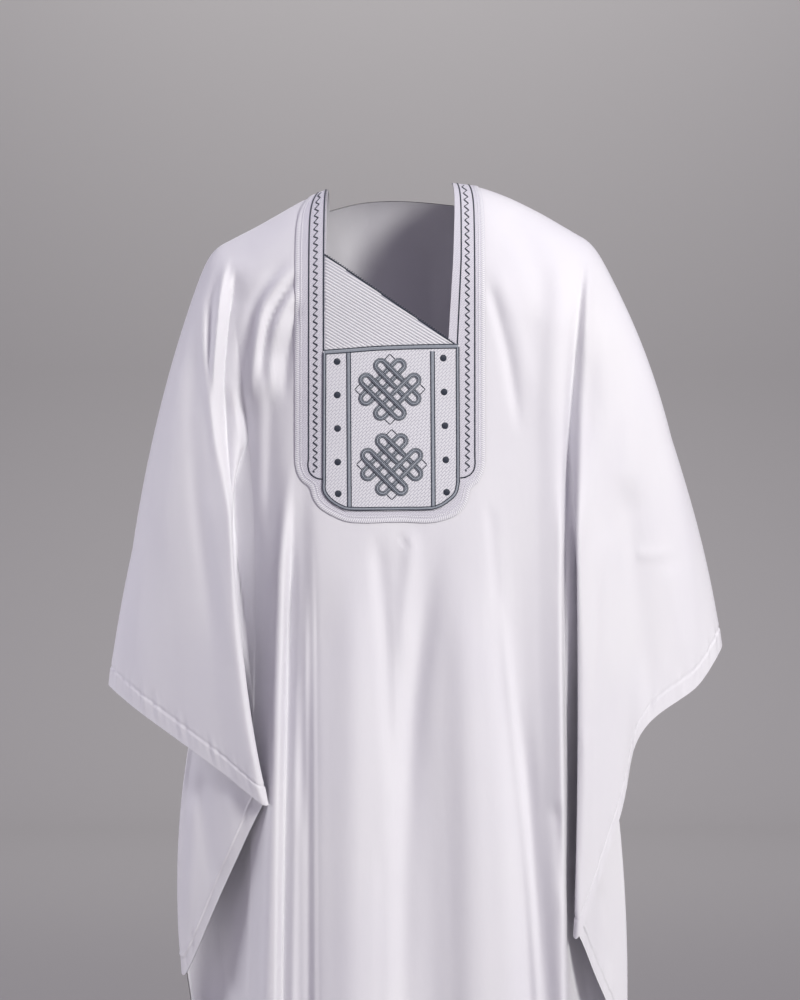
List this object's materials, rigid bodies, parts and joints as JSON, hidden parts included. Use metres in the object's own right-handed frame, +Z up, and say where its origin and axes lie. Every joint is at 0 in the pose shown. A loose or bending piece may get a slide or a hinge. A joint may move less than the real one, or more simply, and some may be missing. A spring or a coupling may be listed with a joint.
{
  "type": "agbada robe (wide-sleeved kaftan)",
  "caption": "Long white wide-sleeved outer robe with an embroidered neck panel and chest pocket, hanging in its worn, hollow form.",
  "frame": {"origin": "middle of the neck opening at the height of the shoulders, where the wearer carries the robe", "axes": "+Z up along the garment's length, -Y to the front of the robe, +X to the wearer's left"},
  "size_m": [0.771, 0.3118, 1.3646],
  "materials": {
    "cloth": "satin",
    "panel_cloth": "matte"
  },
  "bodies": {
    "root": {"front_body": "cloth", "back_body": "cloth", "sleeve_right": "cloth", "sleeve_left": "cloth", "neck_panel": "panel_cloth", "neck_flap": "panel_cloth", "chest_pocket": "panel_cloth"}
  },
  "joints": []
}
